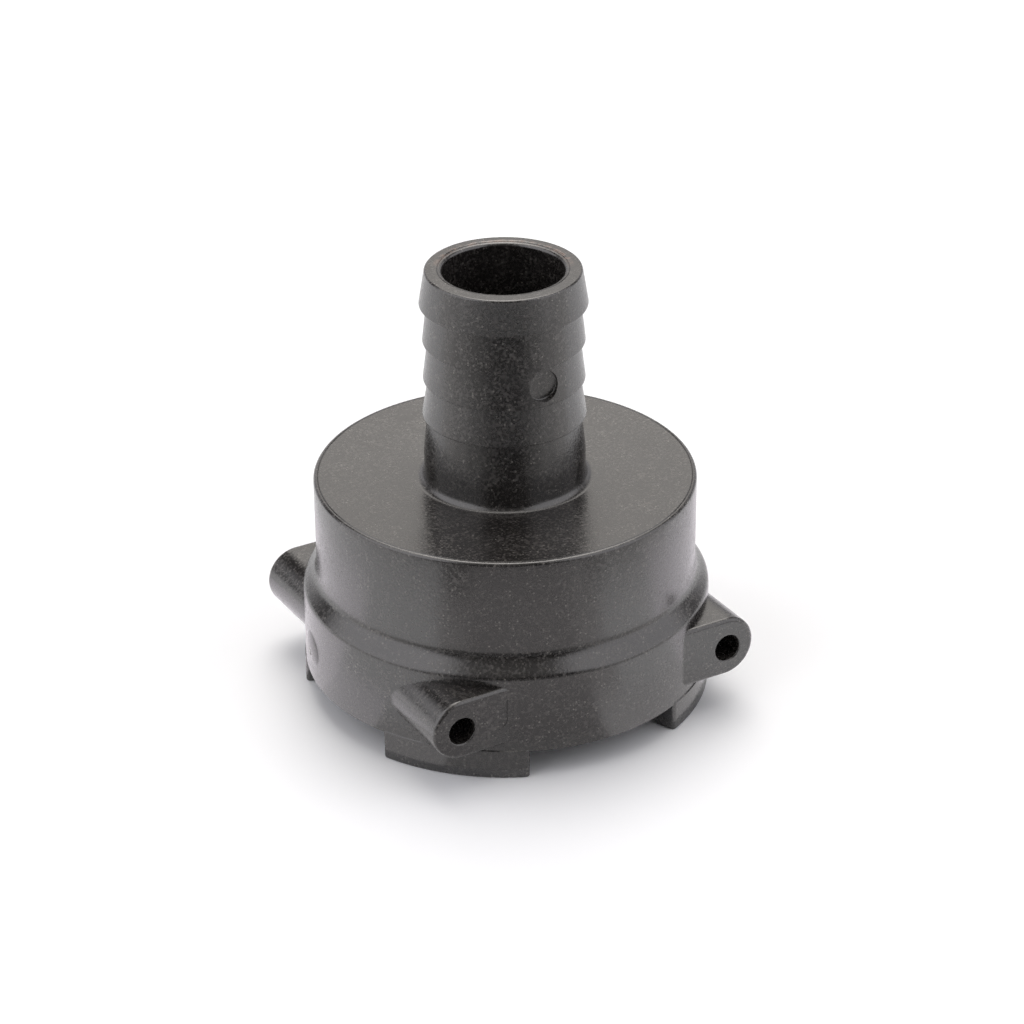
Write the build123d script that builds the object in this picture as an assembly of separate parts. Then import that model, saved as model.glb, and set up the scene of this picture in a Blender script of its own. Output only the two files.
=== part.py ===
from build123d import *
import os

# Straight hose fitting: one moulded body, a barbed hose tail on a clip-held socket.
# Z runs up the axis from the plane of the four tab ends; Y runs along the clip holes.

os.makedirs("parts", exist_ok=True)

# Socket end
RING_R = 52.0
RING_WALL = 4.9
RING_STEP = 3.6
SHOULDER_Z = 28.5
SHOULDER_ROUND = 2.6
COVE_ROUND = 6.5
DISC_Z = 58.4
DISC_EDGE = 0.8
WALL = 5.0

# Four tabs round the socket mouth
TAB_COUNT = 4
TAB_H = 7.3
TAB_ANGLE = 42.4
TAB_STEP = 0.25
TAB_EDGE = 0.4
TAB_CORNER = 0.9

# Two clip holes, each through a pair of lugs
CLIP_INSET = 13.5
CLIP_Z = 17.6
CLIP_R = 3.55
LUG_SETBACK = 6.75
LUG_R = 8.05
LUG_END = 7.75
LUG_RISE = 0.4
LUG_EDGE = 0.8

# Hose tail: barbs listed from the mouth down, each with the height from its crest to the next
BORE_R = 15.1
BORE_LEAD = 0.9
TIP_WALL = 4.35
TIP_H = 9.2
TIP_EDGE = 0.5
BARB_R = [20.95, 20.25, 20.25, 20.55]
BARB_H = [9.9, 10.2, 9.8, 8.8]
ROOT_R = [19.1, 19.0, 19.0, 19.35]
BARB_UNDERCUT = 0.3
NECK_R = 20.35
NECK_H = 8.1
NECK_ROUND = 2.0

# Marks left by the mould
STAMP_R = 4.0
STAMP_DROP = 24.2
STAMP_DEPTH = 1.2
GATE_ANGLE = 165.5
GATE_TOP_Z = 21.5
GATE_FOOT_Z = 12.0
GATE_TOP_DEPTH = 0.9
GATE_FOOT_DEPTH = 0.25
STUB_R = 1.3
STUB_OUT = 0.3

# Sizes that follow from those above
SOCKET_R = RING_R - RING_WALL
UPPER_R = RING_R - RING_STEP
SEAL_R = UPPER_R - WALL
CEILING_Z = DISC_Z - WALL
INNER_SUM = RING_R + SHOULDER_Z - WALL * 2 ** 0.5
SOCKET_TOP_Z = INNER_SUM - SOCKET_R
SEAL_FOOT_Z = INNER_SUM - SEAL_R
TAB_R = RING_R + TAB_STEP
TIP_R = BORE_R + TIP_WALL
CLIP_X = RING_R - CLIP_INSET
LUG_FACE_Y = RING_R - LUG_SETBACK
NECK_Z = DISC_Z + NECK_H
TAIL_TOP_Z = NECK_Z + sum(BARB_H) + TIP_H
BARB_Z = [TAIL_TOP_Z - TIP_H - sum(BARB_H[:i]) for i in range(len(BARB_H))]


def spun(points, rounds=()):
    """Solid of revolution about Z from (r, z) points, with some corners rounded."""
    outline = make_face(Plane.XZ * Polyline(*points, close=True))
    for (r, z), radius in rounds:
        corner = outline.vertices().sort_by_distance((r, 0, z))[0]
        outline = fillet(corner, radius)
    return revolve(outline, axis=Axis.Z)


def rings(part, r, z, tol=0.02):
    """Circular edges of the part with radius r at height z."""
    found = part.edges().filter_by(GeomType.CIRCLE)
    return [e for e in found if abs(e.radius - r) < tol and abs(e.arc_center.Z - z) < tol]


def drilled(x, z, r, y_from, y_to):
    """Round cutter along Y."""
    tool = Cylinder(r, y_to - y_from, align=(Align.CENTER, Align.CENTER, Align.MIN))
    return Pos(x, y_to, z) * (Rotation(90, 0, 0) * tool)


def cup():
    """Ring, shoulder, cove and upper drum as one turned shape."""
    shoulder = (RING_R, SHOULDER_Z)
    cove = (UPPER_R, SHOULDER_Z + RING_R - UPPER_R)
    return spun([
        (0, TAB_H),
        (RING_R, TAB_H),
        shoulder,
        cove,
        (UPPER_R, DISC_Z - DISC_EDGE),
        (UPPER_R - DISC_EDGE, DISC_Z),
        (0, DISC_Z),
    ], [(shoulder, SHOULDER_ROUND), (cove, COVE_ROUND)])


def tail():
    """Barbed tail and plain neck, reaching a little into the cup."""
    points = [(0, CEILING_Z), (NECK_R, CEILING_Z), (NECK_R, NECK_Z)]
    for crest_r, root_r, z in reversed(list(zip(BARB_R, ROOT_R, BARB_Z))):
        points.append((root_r, z - BARB_UNDERCUT))
        points.append((crest_r, z))
    points += [(TIP_R, TAIL_TOP_Z - TIP_EDGE), (TIP_R - TIP_EDGE, TAIL_TOP_Z), (0, TAIL_TOP_Z)]
    return spun(points)


def crown():
    """The tabs of the castellated rim, joined at the axis until the socket is cut."""
    spread = TAB_ANGLE / 2
    sector = make_face([
        CenterArc((0, 0), TAB_R, -spread, TAB_ANGLE),
        Line((0, 0), Vector(TAB_R, 0).rotate(Axis.Z, -spread)),
        Line((0, 0), Vector(TAB_R, 0).rotate(Axis.Z, spread)),
    ])
    tab = extrude(sector, amount=TAB_H)
    corners = [e for e in tab.edges().filter_by(Axis.Z) if e.center().X > TAB_R / 2]
    tab = fillet(corners, TAB_CORNER)
    tab = chamfer(rings(tab, TAB_R, 0), TAB_EDGE)
    shape = Cylinder(SOCKET_R / 2, TAB_H, align=(Align.CENTER, Align.CENTER, Align.MIN))
    for i in range(TAB_COUNT):
        shape += Rotation(0, 0, (i + 0.5) * 360 / TAB_COUNT) * tab
    return shape


def lug_bar(side):
    """Bar with a rounded outer end that makes the lugs at both ends of one clip hole."""
    middle = CLIP_Z + LUG_RISE
    centre_x = CLIP_X + LUG_END - LUG_R
    inner_x = centre_x / 2
    block = Box(
        centre_x - inner_x, 2 * LUG_FACE_Y, 2 * LUG_R,
        align=(Align.MIN, Align.CENTER, Align.CENTER),
    )
    end = Rotation(90, 0, 0) * Cylinder(LUG_R, 2 * LUG_FACE_Y)
    bar = Pos(inner_x, 0, middle) * block + Pos(centre_x, 0, middle) * end
    rims = [e for f in bar.faces().filter_by(Axis.Y) for e in f.edges()]
    bar = chamfer([e for e in rims if e.center().X > inner_x + 0.1], LUG_EDGE)
    return bar if side > 0 else mirror(bar, about=Plane.YZ)


def hollow():
    """Socket, cone, seal bore and flow bore in one cutter."""
    return spun([
        (0, -1),
        (SOCKET_R, -1),
        (SOCKET_R, SOCKET_TOP_Z),
        (SEAL_R, SEAL_FOOT_Z),
        (SEAL_R, CEILING_Z),
        (BORE_R, CEILING_Z),
        (BORE_R, TAIL_TOP_Z + 1),
        (0, TAIL_TOP_Z + 1),
    ])


def stamp_recess():
    """Round flat-floored recess on the tail, facing -Y."""
    skin_r = (ROOT_R[1] + BARB_R[2]) / 2
    return drilled(0, TAIL_TOP_Z - STAMP_DROP, STAMP_R, -RING_R, STAMP_DEPTH - skin_r)


def gate_recess():
    """Shallow sloping recess in the ring's side, deepest at its top edge."""
    wedge = make_face(Plane.XZ * Polyline(
        (RING_R - GATE_FOOT_DEPTH, GATE_FOOT_Z),
        (RING_R - GATE_TOP_DEPTH, GATE_TOP_Z),
        (RING_R + WALL, GATE_TOP_Z),
        (RING_R + WALL, GATE_FOOT_Z),
        close=True,
    ))
    return Rotation(0, 0, GATE_ANGLE) * extrude(wedge, amount=RING_R, both=True)


def gate_stub():
    """Broken-off feed point at the foot of the recess."""
    nub = Cylinder(STUB_R, WALL / 2 + STUB_OUT, align=(Align.CENTER, Align.CENTER, Align.MAX))
    place = Pos(RING_R + STUB_OUT, 0, GATE_FOOT_Z + 1.5 * STUB_R) * (Rotation(0, 90, 0) * nub)
    return Rotation(0, 0, GATE_ANGLE) * place


def body():
    part = cup() + tail()
    part = fillet(rings(part, NECK_R, DISC_Z), NECK_ROUND)
    part += crown()
    part -= gate_recess()
    part += gate_stub()
    part += lug_bar(1)
    part += lug_bar(-1)
    part -= hollow()
    part = chamfer(rings(part, BORE_R, TAIL_TOP_Z), BORE_LEAD)
    for x in (-CLIP_X, CLIP_X):
        part -= drilled(x, CLIP_Z, CLIP_R, -RING_R, RING_R)
    return part - stamp_recess()


fitting = body()
print("solids", len(fitting.solids()), "volume", round(fitting.volume, 1))
export_step(fitting, "parts/fitting_body.step")
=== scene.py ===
import math

import bmesh
import bpy
from mathutils import Matrix, Vector, noise


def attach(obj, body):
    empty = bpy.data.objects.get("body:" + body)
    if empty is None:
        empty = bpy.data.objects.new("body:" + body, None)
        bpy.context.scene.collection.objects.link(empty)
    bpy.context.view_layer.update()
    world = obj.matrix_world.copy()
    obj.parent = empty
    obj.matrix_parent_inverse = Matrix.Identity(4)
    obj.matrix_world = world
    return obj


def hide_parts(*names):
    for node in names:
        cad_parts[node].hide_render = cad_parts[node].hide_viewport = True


# Straight hose fitting: one moulded body of dark glass-filled nylon.
# Lengths are in millimetres and become metres when a mesh is made.

MM = 0.001
OVERCUT = 1

# Fineness of the meshes
SEGMENTS = 256
HOLE_SEGMENTS = 64
GATE_SEGMENTS = 72
RING_SPACING = 1.6
ARC_STEP = math.radians(15)
EDGE_STEPS = 5
TAB_CORNER_STEPS = 6
TAB_FACE_STEPS = 24
WORN_STEPS = 6
LUG_STEPS = 36
FLASH_STEPS = 150
TOOL_LINE_SIDES = 8
MITRE_LIMIT = 0.3
SHARP_ANGLE = math.radians(32)
NORMAL_WEIGHT = 80

# Socket end
RING_R = 52.0
SOCKET_R = 47.1
SOCKET_LEAD = 0.4
DRUM_R = 48.4
SEAL_R = 43.4
SHOULDER_Z = 28.5
SHOULDER_ROUND = 2.4
COVE_ROUND = 4.6
RIM_Z = 7.3
RIM_ROUND = 0.3
DISC_Z = 58.4
DISC_ROUND = 0.85
DISC_FOOT_Z = 57.3
DISC_LINE_R = 47.3
DISC_LINE_WIDTH = 0.36
DISC_LINE_DEPTH = 0.16
CEILING_Z = 53.4
CEILING_ROUND = 0.8
SOCKET_TOP_Z = 26.33
SEAL_FOOT_Z = 30.03
INNER_ROUND = 0.5

# Tabs; the levels of a tab's buried top are heights over the rim and insets
TAB_COUNT = 4
TAB_R = 52.25
TAB_ROOT_R = SOCKET_R - 4
TAB_ANGLE = math.radians(42.4)
TAB_ROUND = 0.5
TAB_CORNER = 0.9
TAB_TOP = [(0.4, 0), (1.0, 0.7)]
WORN_CORNER_ANGLE = math.radians(225) - TAB_ANGLE / 2
WORN_CORNER_ROUND = 1.8
WORN_REACH_R = RING_R + 4

# Lugs and clip holes
CLIP_X = 38.5
CLIP_Z = 17.6
CLIP_R = 3.55
CLIP_ROUND = 0.45
LUG_FACE_Y = 45.25
LUG_R = 8.05
LUG_END_X = 46.25
LUG_Z = 18.0
LUG_ROUND = 1.1

# Hose tail, from the mouth down; a barb is its crest's radius, the radius above it and its height
TOP_Z = 114.4
BORE_R = 15.1
BORE_ROUND = 0.9
BORE_LINE_R = 16.25
BORE_LINE_WIDTH = 0.3
BORE_LINE_DEPTH = 0.12
TIP_R = 19.45
TIP_ROUND = 0.6
BARBS = [(20.95, 19.1, 105.2), (20.25, 19.0, 95.3), (20.25, 19.0, 85.1), (20.55, 19.35, 75.3)]
BARB_UNDERCUT = 0.3
BARB_ROUND = 0.25
NECK_R = 20.35
NECK_Z = 65.0
NECK_ROUND = 2.0
STAMP_R = 4.0
STAMP_Z = 90.2
STAMP_FLOOR_Y = -18.43
STAMP_ROUND = 0.3
STAMP_CUT = 10

# Feed mark in the ring's side: a low swelling, torn where the feed broke off
GATE_ANGLE = math.radians(168.0)
GATE_CENTRE = (RING_R - 0.6, 0, 16.4)
GATE_SIZE = (1.2, 5.5, 5.2)
TORN_ANGLE = math.radians(167.5)
TORN_Z = 15.3
TORN_R = 2.2
TORN_CORE = 0.6
TORN_DEPTH = 0.45
TORN_WAVES = 2.1

# Torn skin left round the back of the tail's mouth, as bearings from the model's X axis. Its line
# wanders and its ridge tears in waves along it, and it fades at both ends.
FLASH_R = 16.75
FLASH_WANDER = 0.35
FLASH_WIDTH = 0.5
FLASH_HEIGHT = 0.22
FLASH_ROOT = 0.4
FLASH_SEAT = 0.02
FLASH_FROM = math.radians(-18)
FLASH_TO = math.radians(140)
FLASH_FADE = 7
FLASH_WAVES = 9
FLASH_TEARS = 41

# Shallow tool line on the face of the front left lug, as (x, z) points
TOOL_LINE = [(-26.0, 22.9), (-26.0, 17.2), (-26.35, 16.0), (-27.2, 15.2), (-28.4, 14.95), (-31.0, 14.95)]
TOOL_LINE_R = 0.13

# Surface of the nylon. A pattern is a noise's size and detail, and the values at which it starts
# to show and shows in full.
CLOUD = (14.0, 4, 0.3, 0.7)
PATCHES = (4.0, 3, 0.35, 0.65)
PATCH_LEAST = 0.35
GRAIN = (0.8, 2)
GRAIN_RANGE = (0.47, 0.66)
SPECK_SPACING = 0.75
SPECK_EDGE = (0.4, 0.15)
SPECK_CHANCE = (0.55, 0.95)
NYLON_DARK = (0.009, 0.008, 0.0075)
NYLON_LIGHT = (0.016, 0.0145, 0.014)
NYLON_GRAIN = (0.052, 0.047, 0.044)
# The specks' light colour is partly the glass fibres' own and partly painted glints of light
SPECK_AND_GLINT_COLOUR = (0.17, 0.16, 0.145)
SPECULAR_LEVEL = 1.0
REFRACTION = 1.58
ROUGHNESS = 0.23
ROUGH_CLOUD = 0.03
ROUGH_GRAIN = 0.16
BUMP_HEIGHT = 0.026
SPECK_BUMP = 0.4

# Paler skin at the torn flash: where it is, how far from the flash's line and how deep below the
# tail's top it fades
SKIN_ANGLE = math.radians(60.1087)
SKIN_SIDE = 6.0
SKIN_WIDTH = (1.1, 0.4)
SKIN_DEPTH = (0.5, 0.3)
SKIN_GRAIN = (1.4, 3, 0.42, 0.6)
FLASH_COLOUR = (0.14, 0.095, 0.075)
TORN_GRAIN = (0.7, 2, 0.5, 0.62)
TORN_COLOUR = (0.5, 0.49, 0.47)

# Camera: where it stands round the part, how far off, and where the rim's centre is in the picture
PICTURE = 1024
SENSOR = 36
FOCAL_PX = 3192.3
CAMERA_DISTANCE = 831.07
CAMERA_ELEVATION = math.radians(30.6924)
CAMERA_TURN = math.radians(29.8913)
CAMERA_ROLL = math.radians(-0.49783)
RIM_CENTRE_PX = (-6.60442, 132.65594)

# Soft boxes in the sky: azimuth and elevation in degrees, strength, colour, and the angles from the
# middle at which the light begins to fall and ends
WARM = (1.0, 0.96, 0.92)
COOL = (0.99, 0.97, 1.0)
LIGHT_LEVEL = 1.13
SOFT_BOXES = [
    (0, 90, 1.3, WARM, 0, 30),
    (0, 52, 0.13, WARM, 20, 48),
    (285, 28, 1.2, COOL, 32, 43),
    (78, 28, 1.0, COOL, 32, 43),
    (150, 6, 0.6, COOL, 0, 30),
    (210, 6, 0.7, COOL, 0, 30),
    (180, 37, 1.05, WARM, 0, 30),
    (180, 65, 3.2, WARM, 0, 30),
]
FLOOR_SIZE = 12000
FLOOR_COLOUR = (0.955, 0.975, 1.0)
BACKDROP_R = 11760

# Cards on the floor, seen by reflections only, that paint shade and light into the part's reflections: the
# dark and grey ones are painted shade, the glowing ones painted light. Each is its nearest and farthest
# edge, first and last bearing in degrees, colour and glow
CARD_Z = 1.5
CARD_STEP = 2
PAINTED_REFLECTION_CARDS = [
    (66, 165, -18, 34, (0.5, 0.49, 0.5), 0),
    (66, 132, -32, -18, (0.68, 0.67, 0.68), 0),
    (80, 132, 34, 46, (0.68, 0.67, 0.68), 0),
    (53.5, 66, -18, 34, (1.0, 0.97, 0.98), 0.48),
    (53.5, 80, 34, 46, (1.0, 0.97, 0.98), 1.0),
    (165, 1200, -18, 24, (0.02, 0.02, 0.02), 0),
    (132, 1200, -32, -18, (0.14, 0.14, 0.14), 0),
    (150, 1200, -52, -32, (0.3, 0.3, 0.3), 0),
    (150, 1200, -74, -52, (0.52, 0.52, 0.52), 0),
    (150, 1200, -92, -74, (0.75, 0.75, 0.75), 0),
    (165, 1200, 24, 36, (0.14, 0.14, 0.14), 0),
    (132, 1200, 36, 52, (0.3, 0.3, 0.3), 0),
    (132, 1200, 52, 74, (0.5, 0.5, 0.5), 0),
    (132, 1200, 74, 94, (0.7, 0.7, 0.7), 0),
    (53.5, 66, -46, -18, (1.0, 0.97, 0.98), 0.85),
    (53.5, 74, 46, 78, (1.0, 0.97, 0.98), 0.95),
    (53.5, 76, -74, -46, (1.0, 0.96, 1.0), 1.3),
    (53.5, 128, 78, 150, (1.0, 0.95, 1.0), 1.4),
    (53.5, 116, -150, -74, (1.0, 0.95, 1.0), 1.5),
]


def turned_profile(corners):
    """Points of a closed outline from (r, z, rounding) corners, with long runs divided."""
    outline = []
    count = len(corners)
    for i, (r, z, rounding) in enumerate(corners):
        here = Vector((r, z))
        before = (Vector(corners[i - 1][:2]) - here).normalized()
        after = (Vector(corners[(i + 1) % count][:2]) - here).normalized()
        if rounding == 0:
            outline.append(here)
            continue
        turn = math.pi - before.angle(after)
        reach = rounding * math.tan(turn / 2)
        centre = here + (before + after).normalized() * rounding / math.cos(turn / 2)
        start = here + before * reach - centre
        sense = 1 if start.y * before.x - start.x * before.y > 0 else -1
        steps = max(2, math.ceil(turn / ARC_STEP))
        for k in range(steps + 1):
            outline.append(centre + Matrix.Rotation(sense * turn * k / steps, 2) @ start)
    points = []
    for i, here in enumerate(outline):
        run = outline[(i + 1) % len(outline)] - here
        parts = max(1, math.ceil(run.length / RING_SPACING))
        points += [here + run * k / parts for k in range(parts)]
    return points


def mesh_object(name, bm):
    """Object from a bmesh in millimetres."""
    bmesh.ops.recalc_face_normals(bm, faces=bm.faces)
    mesh = bpy.data.meshes.new(name)
    bmesh.ops.scale(bm, vec=(MM, MM, MM), verts=bm.verts)
    bm.to_mesh(mesh)
    bm.free()
    obj = bpy.data.objects.new(name, mesh)
    bpy.context.scene.collection.objects.link(obj)
    return obj


def turned(name, corners, segments=SEGMENTS, place=Matrix()):
    """Closed body of revolution about Z, moved by place."""
    bm = bmesh.new()
    columns = []
    points = turned_profile(corners)
    poles = {i: bm.verts.new((0, 0, p.y)) for i, p in enumerate(points) if abs(p.x) < 1e-6}
    for s in range(segments):
        angle = 2 * math.pi * s / segments
        column = []
        for i, p in enumerate(points):
            spot = (p.x * math.cos(angle), p.x * math.sin(angle), p.y)
            column.append(poles[i] if i in poles else bm.verts.new(spot))
        columns.append(column)
    for s in range(segments):
        left, right = columns[s], columns[(s + 1) % segments]
        for i in range(len(points)):
            j = (i + 1) % len(points)
            if i in poles and j in poles:
                continue
            corner = [left[i], right[i], right[j], left[j]]
            bm.faces.new(list(dict.fromkeys(corner)))
    bmesh.ops.transform(bm, matrix=place, verts=bm.verts)
    return mesh_object(name, bm)


def close_tube(bm, sections):
    """Walls between equal closed sections, and a cap at each end."""
    for low, high in zip(sections, sections[1:]):
        for i in range(len(low)):
            j = (i + 1) % len(low)
            bm.faces.new((low[i], low[j], high[j], high[i]))
    bm.faces.new(list(reversed(sections[0])))
    bm.faces.new(sections[-1])


def inset_outline(outline, depth):
    """Closed outline moved inwards, each corner along its mitre; the outline runs anticlockwise."""
    moved = []
    for i, here in enumerate(outline):
        into = (here - outline[i - 1]).normalized()
        out = (outline[(i + 1) % len(outline)] - here).normalized()
        normal = Vector((-into.y - out.y, into.x + out.x)).normalized()
        moved.append(here + normal * depth / max(MITRE_LIMIT, normal.dot(Vector((-out.y, out.x)))))
    return moved


def stacked(name, outline, levels, place):
    """Closed prism from one outline at (height, inset) levels, moved by place."""
    bm = bmesh.new()
    loops = []
    for height, depth in levels:
        loops.append([bm.verts.new((p.x, p.y, height)) for p in inset_outline(outline, depth)])
    close_tube(bm, loops)
    bmesh.ops.transform(bm, matrix=place, verts=bm.verts)
    return mesh_object(name, bm)


def rounded_end(size):
    """Levels of a quarter-round edge, from the end face inwards."""
    angles = [math.pi / 2 * k / EDGE_STEPS for k in range(EDGE_STEPS + 1)]
    return [(size - size * math.sin(a), size - size * math.cos(a)) for a in reversed(angles)]


def combine(body, tool, operation):
    """Applies a boolean of the tool to the body and removes the tool."""
    change = body.modifiers.new("change", "BOOLEAN")
    change.operation = operation
    change.solver = "EXACT"
    change.object = tool
    bpy.context.view_layer.update()
    done = body.evaluated_get(bpy.context.evaluated_depsgraph_get())
    mesh = bpy.data.meshes.new_from_object(done)
    body.modifiers.clear()
    body.data = mesh
    bpy.data.objects.remove(tool)


def line_groove(r, z, width, depth):
    """Corners of a fine V groove in a level face, from the outside in."""
    return [(r + width / 2, z, 0), (r, z - depth, 0), (r - width / 2, z, 0)]


def outer_form():
    """Ring, shoulder, drum, disc, neck and barbs as one turned solid."""
    corners = [
        (0, RIM_Z, 0),
        (RING_R, RIM_Z, RIM_ROUND),
        (RING_R, SHOULDER_Z, SHOULDER_ROUND),
        (DRUM_R, SHOULDER_Z + RING_R - DRUM_R, COVE_ROUND),
        (DRUM_R, DISC_Z, DISC_ROUND),
        *line_groove(DISC_LINE_R, DISC_Z, DISC_LINE_WIDTH, DISC_LINE_DEPTH),
        (NECK_R, DISC_FOOT_Z, NECK_ROUND),
        (NECK_R, NECK_Z, 0),
    ]
    for crest_r, root_r, z in reversed(BARBS):
        corners.append((root_r, z - BARB_UNDERCUT, BARB_ROUND))
        corners.append((crest_r, z, BARB_ROUND))
    face_z = TOP_Z - FLASH_HEIGHT
    corners.append((TIP_R, face_z, TIP_ROUND))
    corners += line_groove(BORE_LINE_R, face_z, BORE_LINE_WIDTH, BORE_LINE_DEPTH)
    corners.append((0, face_z, 0))
    return turned("fitting_visual", corners)


def tab_outline():
    """Sector with rounded outer corners, reaching from inside the socket to the tab's face."""
    half = TAB_ANGLE / 2
    corner_r = TAB_R - TAB_CORNER
    corner_angle = TAB_CORNER / corner_r
    span = 2 * (half - corner_angle)
    quarter = [math.pi / 2 * k / TAB_CORNER_STEPS for k in range(TAB_CORNER_STEPS + 1)]
    points = []
    for side in (-1, 1):
        middle = side * (half - corner_angle)
        centre = Vector((corner_r * math.cos(middle), corner_r * math.sin(middle)))
        start = middle + (0 if side > 0 else -math.pi / 2)
        if side > 0:
            points += [TAB_R * Vector((math.cos(a), math.sin(a)))
                       for a in (-span / 2 + span * k / TAB_FACE_STEPS for k in range(1, TAB_FACE_STEPS))]
        points += [centre + TAB_CORNER * Vector((math.cos(start + a), math.sin(start + a)))
                   for a in quarter]
    return points + [TAB_ROOT_R * Vector((math.cos(half), side * math.sin(half))) for side in (1, -1)]


def add_tabs(body):
    """Tabs round the rim, with soft lower edges and tops that end inside the ring."""
    levels = rounded_end(TAB_ROUND)
    levels += [(RIM_Z + height, inset) for height, inset in TAB_TOP]
    for i in range(TAB_COUNT):
        turn = Matrix.Rotation(math.radians(360 * (i + 0.5) / TAB_COUNT), 4, "Z")
        combine(body, stacked("tab", tab_outline(), levels, turn), "UNION")


def wear_tab_corner(body):
    """Rounds the lower corner of the front tab, which is worn."""
    size = WORN_CORNER_ROUND
    outline = [Vector((-OVERCUT, -OVERCUT)), Vector((size, -OVERCUT)), Vector((size, 0))]
    outline += [Vector((size - size * math.sin(a), size - size * math.cos(a)))
                for a in (math.radians(90 * k / WORN_STEPS) for k in range(1, WORN_STEPS))]
    outline += [Vector((0, size)), Vector((-OVERCUT, size))]
    outward = Vector((math.cos(WORN_CORNER_ANGLE), math.sin(WORN_CORNER_ANGLE), 0))
    along = Vector((-outward.y, outward.x, 0))
    place = Matrix((along, Vector((0, 0, 1)), outward)).transposed().to_4x4()
    levels = [(TAB_ROOT_R, 0), (WORN_REACH_R, 0)]
    combine(body, stacked("worn_corner", outline, levels, place), "DIFFERENCE")


def torn_spot():
    """Middle of the torn patch on the feed mark."""
    return Vector((RING_R * math.cos(TORN_ANGLE), RING_R * math.sin(TORN_ANGLE), TORN_Z))


def add_gate_mark(body):
    """Low oval swelling with a torn patch."""
    bm = bmesh.new()
    bmesh.ops.create_uvsphere(bm, u_segments=GATE_SEGMENTS, v_segments=GATE_SEGMENTS // 2, radius=1)
    place = Matrix.Rotation(GATE_ANGLE, 4, "Z") @ Matrix.Translation(GATE_CENTRE)
    bmesh.ops.transform(bm, matrix=place @ Matrix.Diagonal((*GATE_SIZE, 1)), verts=bm.verts)
    outward = Vector((math.cos(GATE_ANGLE), math.sin(GATE_ANGLE), 0))
    for vert in bm.verts:
        reach = 1 - (vert.co - torn_spot()).length / TORN_R
        if reach > 0:
            vert.co -= outward * TORN_DEPTH * reach * (0.5 + noise.noise(vert.co * TORN_WAVES))
    combine(body, mesh_object("gate_mark", bm), "UNION")


def lug_outline():
    """Lug's section: straight on the inside, half round at the outer end."""
    centre = LUG_END_X - LUG_R
    arc = [Vector((centre + LUG_R * math.cos(a), LUG_R * math.sin(a)))
           for a in (math.radians(-90 + 180 * k / LUG_STEPS) for k in range(LUG_STEPS + 1))]
    return arc + [Vector((centre / 2, LUG_R)), Vector((centre / 2, -LUG_R))]


def add_lugs(body):
    """Two bars across the part, whose ends are the four lugs."""
    ends = rounded_end(LUG_ROUND)
    levels = [(z - LUG_FACE_Y, inset) for z, inset in ends]
    levels += [(LUG_FACE_Y - z, inset) for z, inset in reversed(ends)]
    for side in (0, math.pi):
        lie = Matrix.Translation((0, 0, LUG_Z)) @ Matrix.Rotation(side, 4, "Z")
        lie = lie @ Matrix.Rotation(math.radians(90), 4, "X")
        combine(body, stacked("lug", lug_outline(), levels, lie), "UNION")


def cut_tool_line(body):
    """Fine groove along a polyline on the lug's face."""
    bm = bmesh.new()
    path = [Vector(point) for point in TOOL_LINE]
    sections = []
    for i, here in enumerate(path):
        into = (here - path[i - 1]).normalized() if i else (path[1] - here).normalized()
        out = (path[i + 1] - here).normalized() if i + 1 < len(path) else into
        across = Vector((-(into + out).y, (into + out).x)).normalized()
        section = []
        for k in range(TOOL_LINE_SIDES):
            a = 2 * math.pi * k / TOOL_LINE_SIDES
            flat = here + across * TOOL_LINE_R * math.cos(a)
            section.append(bm.verts.new((flat.x, -LUG_FACE_Y + TOOL_LINE_R * math.sin(a), flat.y)))
        sections.append(section)
    close_tube(bm, sections)
    combine(body, mesh_object("tool_line", bm), "DIFFERENCE")


def cut_hollow(body):
    """Socket, cone, seal bore and flow bore with a rounded mouth."""
    face_z = TOP_Z - FLASH_HEIGHT
    mouth = [(BORE_R + z, face_z - x, 0) for z, x in rounded_end(BORE_ROUND)]
    combine(body, turned("hollow", [
        (0, -OVERCUT, 0),
        (SOCKET_R + SOCKET_LEAD, -OVERCUT, 0),
        (SOCKET_R + SOCKET_LEAD, 0, 0),
        (SOCKET_R, SOCKET_LEAD, SOCKET_LEAD),
        (SOCKET_R, SOCKET_TOP_Z, INNER_ROUND),
        (SEAL_R, SEAL_FOOT_Z, INNER_ROUND),
        (SEAL_R, CEILING_Z, CEILING_ROUND),
        (BORE_R, CEILING_Z, INNER_ROUND),
        *mouth,
        (BORE_R + BORE_ROUND, TOP_Z + OVERCUT, 0),
        (0, TOP_Z + OVERCUT, 0),
    ]), "DIFFERENCE")


def cut_clip_holes(body):
    """Two holes along Y with softly rounded mouths."""
    mouth = [(CLIP_R + x, LUG_FACE_Y - z) for z, x in rounded_end(CLIP_ROUND)]
    wide_r, end_y = mouth[0][0], LUG_FACE_Y + OVERCUT
    for side in (-1, 1):
        corners = [(0, -end_y, 0), (wide_r, -end_y, 0)]
        corners += [(r, -y, 0) for r, y in mouth]
        corners += [(r, y, 0) for r, y in reversed(mouth)]
        corners += [(wide_r, end_y, 0), (0, end_y, 0)]
        place = Matrix.Translation((side * CLIP_X, 0, CLIP_Z)) @ Matrix.Rotation(math.pi / 2, 4, "X")
        combine(body, turned("clip_hole", corners, HOLE_SEGMENTS, place), "DIFFERENCE")


def cut_stamp(body):
    """Round flat-floored recess on the tail."""
    floor, end = -STAMP_FLOOR_Y, -STAMP_FLOOR_Y + STAMP_CUT
    corners = [(0, floor, 0), (STAMP_R, floor, STAMP_ROUND), (STAMP_R, end, 0), (0, end, 0)]
    place = Matrix.Translation((0, 0, STAMP_Z)) @ Matrix.Rotation(math.pi / 2, 4, "X")
    combine(body, turned("stamp", corners, HOLE_SEGMENTS, place), "DIFFERENCE")


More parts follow.
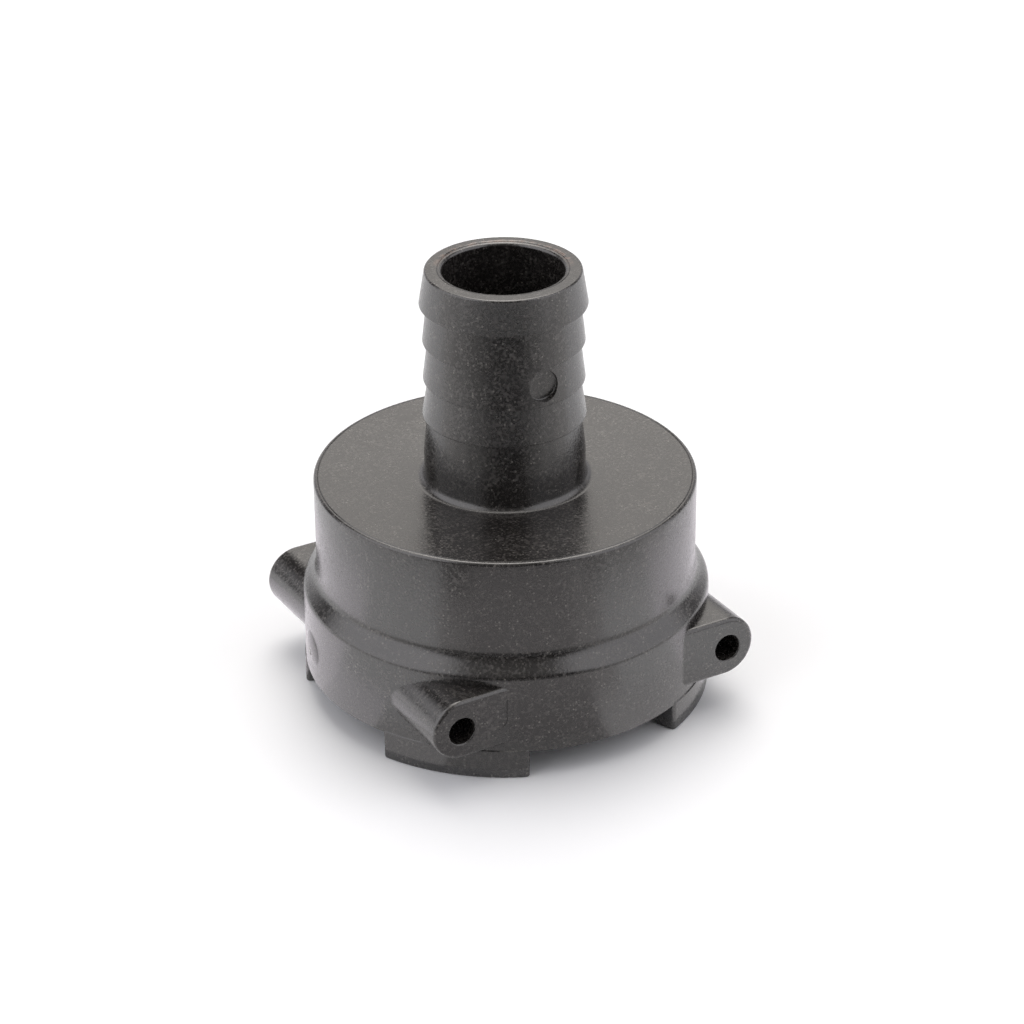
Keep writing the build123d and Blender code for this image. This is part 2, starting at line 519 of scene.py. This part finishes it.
def add_flash(body):
    """Thin torn ridge of skin along the back of the tail's mouth."""
    bm = bmesh.new()
    face_z = TOP_Z - FLASH_HEIGHT
    sections = []
    for k in range(FLASH_STEPS + 1):
        share = k / FLASH_STEPS
        a = FLASH_FROM + (FLASH_TO - FLASH_FROM) * share
        fade = min(1, FLASH_FADE * share, FLASH_FADE * (1 - share))
        wander = noise.noise(Vector((share * FLASH_WAVES, 0.3, 1.7)))
        tear = 0.5 + 0.5 * noise.noise(Vector((share * FLASH_TEARS, 5.2, 0.4)))
        r = FLASH_R + FLASH_WANDER * wander
        wide = FLASH_WIDTH * (0.35 + 0.65 * fade * (0.6 + 0.4 * tear))
        high = FLASH_HEIGHT * fade * (0.35 + 0.63 * tear)
        section = [(r - wide / 2, -FLASH_ROOT), (r + wide / 2, -FLASH_ROOT), (r + wide / 2, FLASH_SEAT),
                   (r + wide / 5, high), (r - wide / 6, high * 0.8), (r - wide / 2, FLASH_SEAT / 2)]
        sections.append([bm.verts.new((q * math.cos(a), q * math.sin(a), face_z + z)) for q, z in section])
    close_tube(bm, sections)
    combine(body, mesh_object("flash", bm), "UNION")


def finish_surface(body):
    """Smooth shading that stays crisp at real edges."""
    for face in body.data.polygons:
        face.use_smooth = True
    body.data.set_sharp_from_angle(angle=SHARP_ANGLE)
    weigh = body.modifiers.new("weighted_normals", "WEIGHTED_NORMAL")
    weigh.keep_sharp = True
    weigh.weight = NORMAL_WEIGHT


def feed(tree, node, inputs):
    """Sets a node's inputs, each to a value or to another node's output."""
    for name, value in inputs.items():
        if isinstance(value, bpy.types.NodeSocket):
            tree.links.new(value, node.inputs[name])
        else:
            node.inputs[name].default_value = value


def add_node(tree, kind, inputs, output=0, **settings):
    """Output of a new shader node."""
    node = tree.nodes.new("ShaderNode" + kind)
    for name, setting in settings.items():
        setattr(node, name, setting)
    feed(tree, node, inputs)
    return node.outputs[output]


def reckon(tree, operation, first, second=0.0):
    """Output of a math node."""
    return add_node(tree, "Math", {0: first, 1: second}, operation=operation)


def product(tree, first, *others):
    """All the values multiplied."""
    for other in others:
        first = reckon(tree, "MULTIPLY", first, other)
    return first


def ramp(tree, value, low, high, to_low=0.0, to_high=1.0):
    """The value from low to high, mapped to another range and held at its ends."""
    ends = {"From Min": low, "From Max": high, "To Min": to_low, "To Max": to_high}
    return add_node(tree, "MapRange", {"Value": value, **ends})


def noise_at(tree, where, size, detail):
    """Noise with features of a size in millimetres."""
    inputs = {"Vector": where, "Scale": 1 / (size * MM), "Detail": detail}
    return add_node(tree, "TexNoise", inputs, "Fac")


def pattern(tree, where, size, detail, low, high, least=0.0):
    """Noise that shows only where it passes from low to high."""
    return ramp(tree, noise_at(tree, where, size, detail), low, high, least)


def mixed(tree, share, under, over):
    """Colour laid over another by its share."""
    return add_node(tree, "Mix", {0: share, 6: under, 7: (*over, 1)}, 2, data_type="RGBA")


def torn_skin(tree, where):
    """Share of the paler skin along the flash on the tail's mouth."""
    level = add_node(tree, "VectorMath", {0: where, 1: (1, 1, 0)}, operation="MULTIPLY")
    radius = add_node(tree, "VectorMath", {0: level}, "Value", operation="LENGTH")
    apart = reckon(tree, "ABSOLUTE", reckon(tree, "SUBTRACT", radius, FLASH_R * MM))
    toward = (math.cos(SKIN_ANGLE), math.sin(SKIN_ANGLE), 0)
    side = add_node(tree, "VectorMath", {0: where, 1: toward}, "Value", operation="DOT_PRODUCT")
    height = add_node(tree, "SeparateXYZ", {0: where}, "Z")
    return product(
        tree,
        ramp(tree, apart, *(width * MM for width in SKIN_WIDTH)),
        ramp(tree, side, 0, SKIN_SIDE * MM),
        ramp(tree, height, *((TOP_Z - depth) * MM for depth in SKIN_DEPTH)),
        pattern(tree, where, *SKIN_GRAIN),
    )


def torn_patch(tree, where):
    """Share of the pale torn nylon on the feed mark."""
    spot = [c * MM for c in torn_spot()]
    apart = add_node(tree, "VectorMath", {0: where, 1: spot}, "Value", operation="DISTANCE")
    reach = ramp(tree, apart, TORN_R * MM, TORN_CORE * TORN_R * MM)
    return product(tree, reach, pattern(tree, where, *TORN_GRAIN))


def fitting_material():
    """Dark glass-filled nylon: cloudy, finely grained, with light specks at the skin that are partly the
    fibres' own colour and partly painted glints of light.
    """
    material = bpy.data.materials.new("glass_filled_nylon")
    material.use_nodes = True
    tree = material.node_tree
    where = tree.nodes.new("ShaderNodeTexCoord").outputs["Object"]
    cloud = pattern(tree, where, *CLOUD)
    patches = pattern(tree, where, *PATCHES, least=PATCH_LEAST)
    grain = noise_at(tree, where, *GRAIN)
    fine = product(tree, ramp(tree, grain, *GRAIN_RANGE), patches)

    cells = tree.nodes.new("ShaderNodeTexVoronoi")
    feed(tree, cells, {"Vector": where, "Scale": 1 / (SPECK_SPACING * MM)})
    chance = add_node(tree, "SeparateColor", {0: cells.outputs["Color"]})
    speck_and_glint = product(tree, ramp(tree, cells.outputs["Distance"], *SPECK_EDGE),
                    ramp(tree, chance, *SPECK_CHANCE), patches)

    colour = mixed(tree, cloud, (*NYLON_DARK, 1), NYLON_LIGHT)
    colour = mixed(tree, fine, colour, NYLON_GRAIN)
    # Light specks: partly the fibres' own colour, partly painted glints of light
    colour = mixed(tree, speck_and_glint, colour, SPECK_AND_GLINT_COLOUR)
    colour = mixed(tree, torn_skin(tree, where), colour, FLASH_COLOUR)
    colour = mixed(tree, torn_patch(tree, where), colour, TORN_COLOUR)

    rough = ramp(tree, cloud, 0, 1, ROUGHNESS - ROUGH_CLOUD, ROUGHNESS + ROUGH_CLOUD)
    rough_grain = product(tree, reckon(tree, "MAXIMUM", fine, speck_and_glint), ROUGH_GRAIN)
    height = reckon(tree, "ADD", grain, product(tree, speck_and_glint, SPECK_BUMP))
    bump = {"Strength": 1.0, "Distance": BUMP_HEIGHT * MM, "Height": height}
    feed(tree, tree.nodes["Principled BSDF"], {
        "Base Color": colour,
        "Roughness": reckon(tree, "ADD", rough, rough_grain),
        "Normal": add_node(tree, "Bump", bump),
        "Specular IOR Level": SPECULAR_LEVEL,
        "IOR": REFRACTION,
    })
    return material


def bearing(azimuth, elevation):
    """Direction from the part: azimuth in degrees from the camera's side, turning to picture right."""
    a, e = math.radians(azimuth), math.radians(elevation)
    right = Vector((math.cos(CAMERA_TURN), -math.sin(CAMERA_TURN), 0))
    front = Vector((-math.sin(CAMERA_TURN), -math.cos(CAMERA_TURN), 0))
    return (front * math.cos(a) + right * math.sin(a)) * math.cos(e) + Vector((0, 0, math.sin(e)))


def make_camera():
    """Camera fitted to the photograph, turned so that the rim's centre lies where it does there."""
    right = Vector((math.cos(CAMERA_TURN), -math.sin(CAMERA_TURN), 0))
    back = bearing(0, math.degrees(CAMERA_ELEVATION))
    place = Vector((0, 0, RIM_Z)) + back * CAMERA_DISTANCE
    view = Matrix((right, back.cross(right), back)).transposed().to_4x4()
    pitch = Matrix.Rotation(math.atan(RIM_CENTRE_PX[1] / FOCAL_PX), 4, "X")
    yaw = Matrix.Rotation(math.atan(RIM_CENTRE_PX[0] / FOCAL_PX), 4, "Y")
    roll = Matrix.Rotation(CAMERA_ROLL, 4, "Z")
    data = bpy.data.cameras.new("camera")
    data.sensor_fit = "HORIZONTAL"
    data.sensor_width = SENSOR
    data.lens = SENSOR * FOCAL_PX / PICTURE
    camera = bpy.data.objects.new("camera", data)
    bpy.context.scene.collection.objects.link(camera)
    camera.matrix_world = Matrix.Translation(place * MM) @ view @ pitch @ yaw @ roll
    bpy.context.scene.camera = camera


def plain_material(name, colour, glow=0):
    """Matt colour, or a light of that colour where it glows."""
    material = bpy.data.materials.new(name)
    material.use_nodes = True
    inputs = {"Base Color": (*colour, 1), "Roughness": 1, "Specular IOR Level": 0}
    if glow:
        inputs["Base Color"] = (0, 0, 0, 1)
        inputs.update({"Emission Color": (*colour, 1), "Emission Strength": glow})
    feed(material.node_tree, material.node_tree.nodes["Principled BSDF"], inputs)
    return material


def make_sky():
    """Soft boxes far off, each a smooth patch of light in the sky."""
    world = bpy.data.worlds.new("studio")
    bpy.context.scene.world = world
    world.use_nodes = True
    tree = world.node_tree
    where = tree.nodes.new("ShaderNodeTexCoord").outputs["Generated"]
    total = (0, 0, 0)
    for azimuth, elevation, strength, colour, inner, outer in SOFT_BOXES:
        middle = bearing(azimuth, elevation)
        facing = add_node(tree, "VectorMath", {0: where, 1: middle}, "Value", operation="DOT_PRODUCT")
        ends = {"From Min": math.cos(math.radians(outer)), "From Max": math.cos(math.radians(inner))}
        patch = add_node(tree, "MapRange", {"Value": facing, **ends}, interpolation_type="SMOOTHSTEP")
        light = [strength * LIGHT_LEVEL * c for c in colour]
        tint = add_node(tree, "VectorMath", {0: light, "Scale": patch}, operation="SCALE")
        total = add_node(tree, "VectorMath", {0: total, 1: tint}, operation="ADD")
    feed(tree, tree.nodes["Background"], {"Color": total})


def unseen_by(obj, *rays):
    """Hides an object from some kinds of rays."""
    for ray in rays:
        setattr(obj, "visible_" + ray, False)


def add_painted_reflection_card(near, far, first, last, colour, glow):
    """Flat sector on the floor that only reflections see: painted shade where it is dark or grey, painted
    light where it glows.
    """
    bm = bmesh.new()
    rows = []
    for azimuth in range(first, last + 1, CARD_STEP):
        level = bearing(azimuth, 0)
        rows.append([bm.verts.new(level * r + Vector((0, 0, CARD_Z))) for r in (near, far)])
    for before, after in zip(rows, rows[1:]):
        bm.faces.new((before[0], before[1], after[1], after[0]))
    painted_reflection_card = mesh_object("painted_reflection_card", bm)
    painted_reflection_card.data.materials.append(plain_material("painted_reflection_card", colour, glow))
    unseen_by(painted_reflection_card, "camera", "diffuse", "transmission", "volume_scatter", "shadow")


def make_studio():
    """Sky, white floor, the white backdrop that only the camera sees, and the cards that paint shade and
    light into reflections.
    """
    bpy.context.scene.view_settings.view_transform = "Standard"
    make_sky()
    bm = bmesh.new()
    bmesh.ops.create_grid(bm, x_segments=1, y_segments=1, size=FLOOR_SIZE)
    floor = mesh_object("floor", bm)
    floor.data.materials.append(plain_material("white_floor", FLOOR_COLOUR))
    bm = bmesh.new()
    bmesh.ops.create_icosphere(bm, subdivisions=3, radius=BACKDROP_R)
    backdrop = mesh_object("backdrop", bm)
    backdrop.data.materials.append(plain_material("white_backdrop", (1, 1, 1), 1))
    unseen_by(backdrop, "diffuse", "glossy", "transmission", "volume_scatter", "shadow")
    for painted_reflection_card in PAINTED_REFLECTION_CARDS:
        add_painted_reflection_card(*painted_reflection_card)


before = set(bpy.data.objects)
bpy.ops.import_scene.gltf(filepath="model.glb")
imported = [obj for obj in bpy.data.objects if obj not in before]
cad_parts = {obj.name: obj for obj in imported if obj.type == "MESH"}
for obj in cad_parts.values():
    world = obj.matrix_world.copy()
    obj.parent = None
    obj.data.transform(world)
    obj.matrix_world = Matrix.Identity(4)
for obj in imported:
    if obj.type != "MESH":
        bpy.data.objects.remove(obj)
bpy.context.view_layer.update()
make_camera()
make_studio()
fitting = outer_form()
add_tabs(fitting)
wear_tab_corner(fitting)
add_gate_mark(fitting)
add_lugs(fitting)
cut_tool_line(fitting)
cut_hollow(fitting)
cut_clip_holes(fitting)
cut_stamp(fitting)
add_flash(fitting)
finish_surface(fitting)
fitting.data.materials.append(fitting_material())
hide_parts("fitting_body")
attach(fitting, "root")
